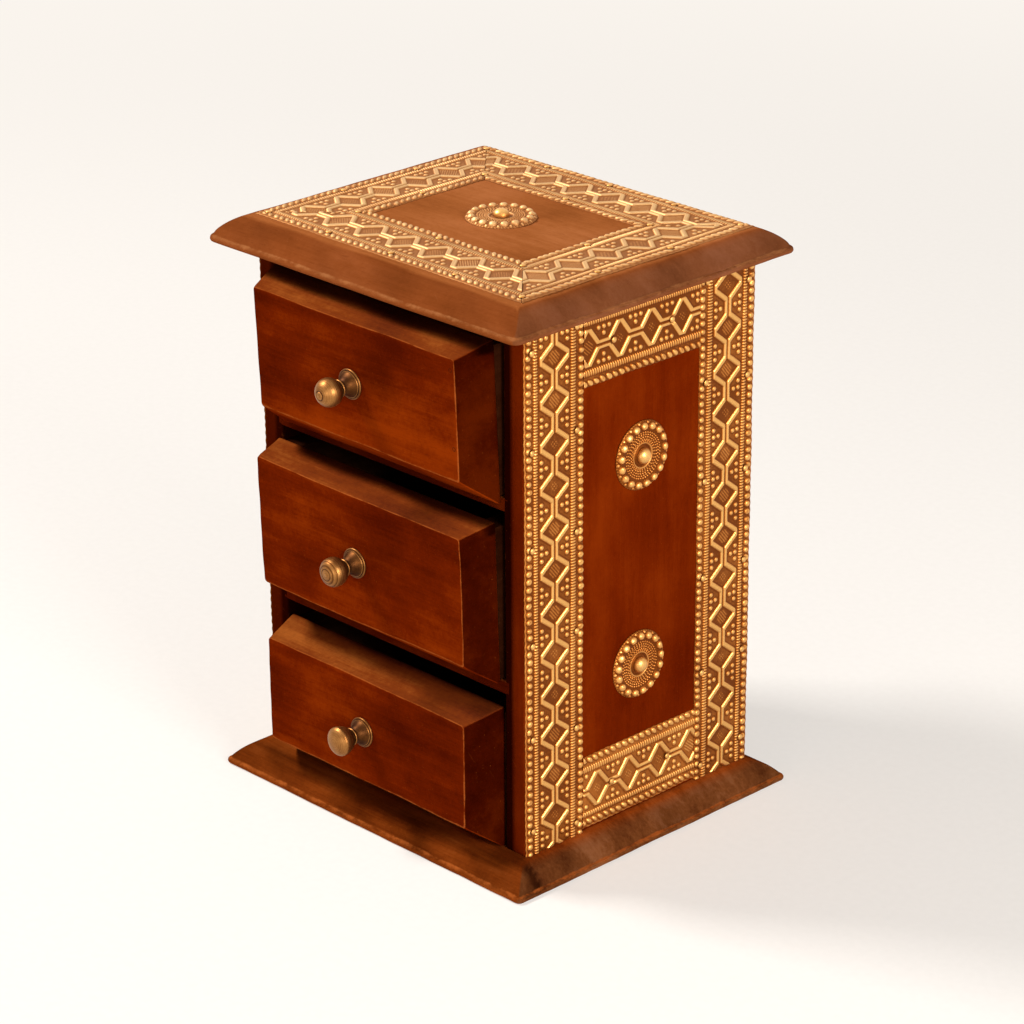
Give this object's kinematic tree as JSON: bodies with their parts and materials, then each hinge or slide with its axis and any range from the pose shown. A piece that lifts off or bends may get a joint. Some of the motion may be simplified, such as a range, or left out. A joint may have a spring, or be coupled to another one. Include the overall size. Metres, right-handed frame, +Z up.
{
  "type": "drawer chest",
  "caption": "Small wooden chest of drawers with bevelled fronts, turned brass knobs and embossed brass strips; drawers slide out for small craft parts.",
  "frame": {"origin": "on the base board's underside below the centre of the carcass, on the surface that the chest stands on", "axes": "+X to the right seen from the front, +Y to the rear (the drawers open along -Y), +Z up"},
  "size_m": [0.148, 0.1458, 0.2064],
  "materials": {
    "stained_wood": "dark reddish-brown stain and thin worn varnish, lighter at the worn edges",
    "drawer_wood": "plain wood, thinly stained, unpolished",
    "embossed_brass": "thin pressed brass sheet, dark brown patina in the recesses, rubbed bright on the relief",
    "knob_brass": "turned brass, dulled and browned, with fine lathe lines",
    "steel_wire": "dull drawn steel"
  },
  "bodies": {
    "carcass": {"base_board": "stained_wood", "top_board": "stained_wood", "side_panel_left": "stained_wood", "side_panel_right": "stained_wood", "back_panel": "stained_wood", "shelf_upper": "stained_wood", "shelf_lower": "stained_wood", "base_nails": "steel_wire", "top_nails": "steel_wire", "back_nails": "steel_wire", "left_strip_front": "embossed_brass", "left_strip_rear": "embossed_brass", "left_strip_top": "embossed_brass", "left_strip_bottom": "embossed_brass", "left_medallion_lower": "embossed_brass", "left_medallion_upper": "embossed_brass", "left_strip_pins": "embossed_brass", "left_medallion_tacks": "embossed_brass", "right_strip_front": "embossed_brass", "right_strip_rear": "embossed_brass", "right_strip_top": "embossed_brass", "right_strip_bottom": "embossed_brass", "right_medallion_lower": "embossed_brass", "right_medallion_upper": "embossed_brass", "right_strip_pins": "embossed_brass", "right_medallion_tacks": "embossed_brass", "top_strip_front": "embossed_brass", "top_strip_back": "embossed_brass", "top_strip_left": "embossed_brass", "top_strip_right": "embossed_brass", "top_strip_pins": "embossed_brass", "top_medallion": "embossed_brass", "top_medallion_tack": "embossed_brass"},
    "drawer_lower": {"drawer_lower_front": "stained_wood", "drawer_lower_side_left": "drawer_wood", "drawer_lower_side_right": "drawer_wood", "drawer_lower_back": "drawer_wood", "drawer_lower_bottom": "drawer_wood", "drawer_lower_knob": "knob_brass", "drawer_lower_knob_screw": "steel_wire", "drawer_lower_brads": "steel_wire"},
    "drawer_middle": {"drawer_middle_front": "stained_wood", "drawer_middle_side_left": "drawer_wood", "drawer_middle_side_right": "drawer_wood", "drawer_middle_back": "drawer_wood", "drawer_middle_bottom": "drawer_wood", "drawer_middle_knob": "knob_brass", "drawer_middle_knob_screw": "steel_wire", "drawer_middle_brads": "steel_wire"},
    "drawer_upper": {"drawer_upper_front": "stained_wood", "drawer_upper_side_left": "drawer_wood", "drawer_upper_side_right": "drawer_wood", "drawer_upper_back": "drawer_wood", "drawer_upper_bottom": "drawer_wood", "drawer_upper_knob": "knob_brass", "drawer_upper_knob_screw": "steel_wire", "drawer_upper_brads": "steel_wire"}
  },
  "joints": [
    {"name": "drawer_lower_slide", "type": "slide", "parent": "carcass", "child": "drawer_lower", "axis": [0, -1, 0], "range_m": [-0.0009, 0.085]},
    {"name": "drawer_middle_slide", "type": "slide", "parent": "carcass", "child": "drawer_middle", "axis": [0, -1, 0], "range_m": [-0.0007, 0.085]},
    {"name": "drawer_upper_slide", "type": "slide", "parent": "carcass", "child": "drawer_upper", "axis": [0, -1, 0], "range_m": [0, 0.085]}
  ]
}
